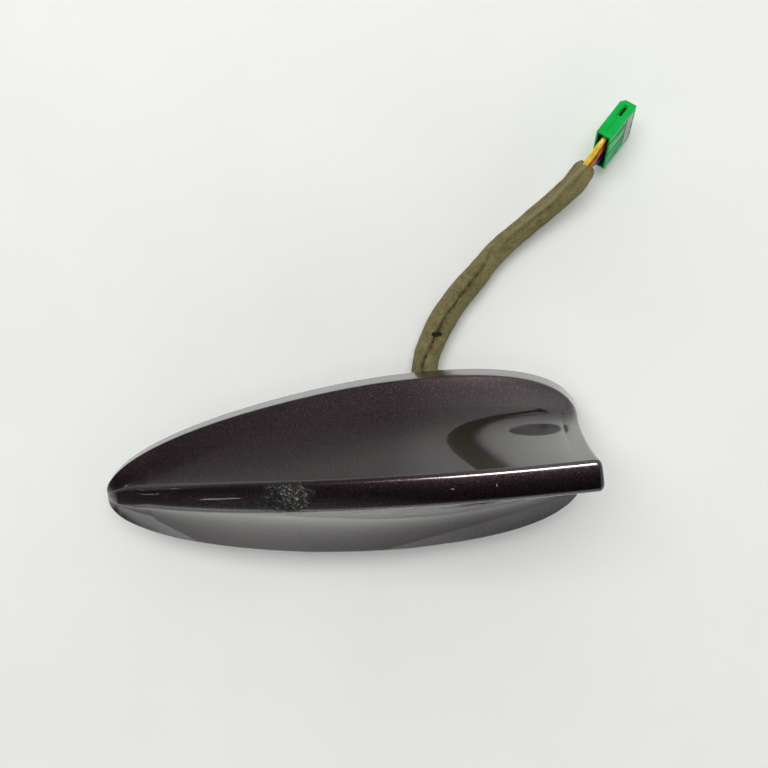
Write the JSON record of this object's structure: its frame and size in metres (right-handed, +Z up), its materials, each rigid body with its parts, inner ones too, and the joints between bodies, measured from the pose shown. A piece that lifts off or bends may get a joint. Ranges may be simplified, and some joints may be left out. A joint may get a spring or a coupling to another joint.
{
  "type": "gps antenna",
  "caption": "Shark-fin roof antenna: hollow painted fin on a cast base with a mounting neck, circuit inside, and a felt-taped pigtail with a green plug.",
  "frame": {"origin": "on the fixing screw hole's axis, in the plane where the seals meet the roof skin", "axes": "+X from the nose to the tail of the fin, +Y to the side where the cable leaves, +Z up, away from the roof"},
  "size_m": [0.1757, 0.1253, 0.0644],
  "materials": {
    "painted_cover": "glossy dark maroon metallic paint with fine flake",
    "cast_alloy": "die-cast, matt grey",
    "seal_rubber": "soft matt black rubber",
    "circuit_board": "green solder resist",
    "patch_ceramic": "fired cream ceramic",
    "silvered": "silvered face",
    "tinned": "tinned sheet",
    "chip_plastic": "black moulded",
    "nylon": "natural nylon",
    "lead_grey": "grey insulation",
    "bracket_black": "black moulded",
    "fin_board_blue": "blue-green laminate",
    "spring_brass": "plain sheet",
    "screw_steel": "zinc plated",
    "felt_tape": "olive-brown felt tape, worn and stained",
    "wire_yellow": "yellow insulation",
    "wire_orange": "orange insulation",
    "wire_red": "red insulation",
    "wire_violet": "violet insulation",
    "plug_green": "bright green moulded",
    "retainer_grey": "grey moulded",
    "contact_brass": "stamped"
  },
  "bodies": {
    "root": {"fin_cover": "painted_cover", "base_plate": "cast_alloy", "rim_seal": "seal_rubber", "neck_seal": "seal_rubber", "lead_grommet": "seal_rubber", "main_board": "circuit_board", "gps_patch": "patch_ceramic", "patch_face": "silvered", "patch_pin": "tinned", "shield_can": "tinned", "board_chips": "chip_plastic", "board_header": "nylon", "inner_plug": "nylon", "inner_leads": "lead_grey", "fin_bracket": "bracket_black", "fin_board": "fin_board_blue", "fin_cap": "spring_brass", "board_screws": "screw_steel", "cover_screws": "screw_steel", "harness_sleeve": "felt_tape", "wire_yellow": "wire_yellow", "wire_orange": "wire_orange", "wire_red": "wire_red", "wire_violet": "wire_violet", "plug_housing": "plug_green", "plug_retainer": "retainer_grey", "plug_contacts": "contact_brass"}
  },
  "joints": []
}
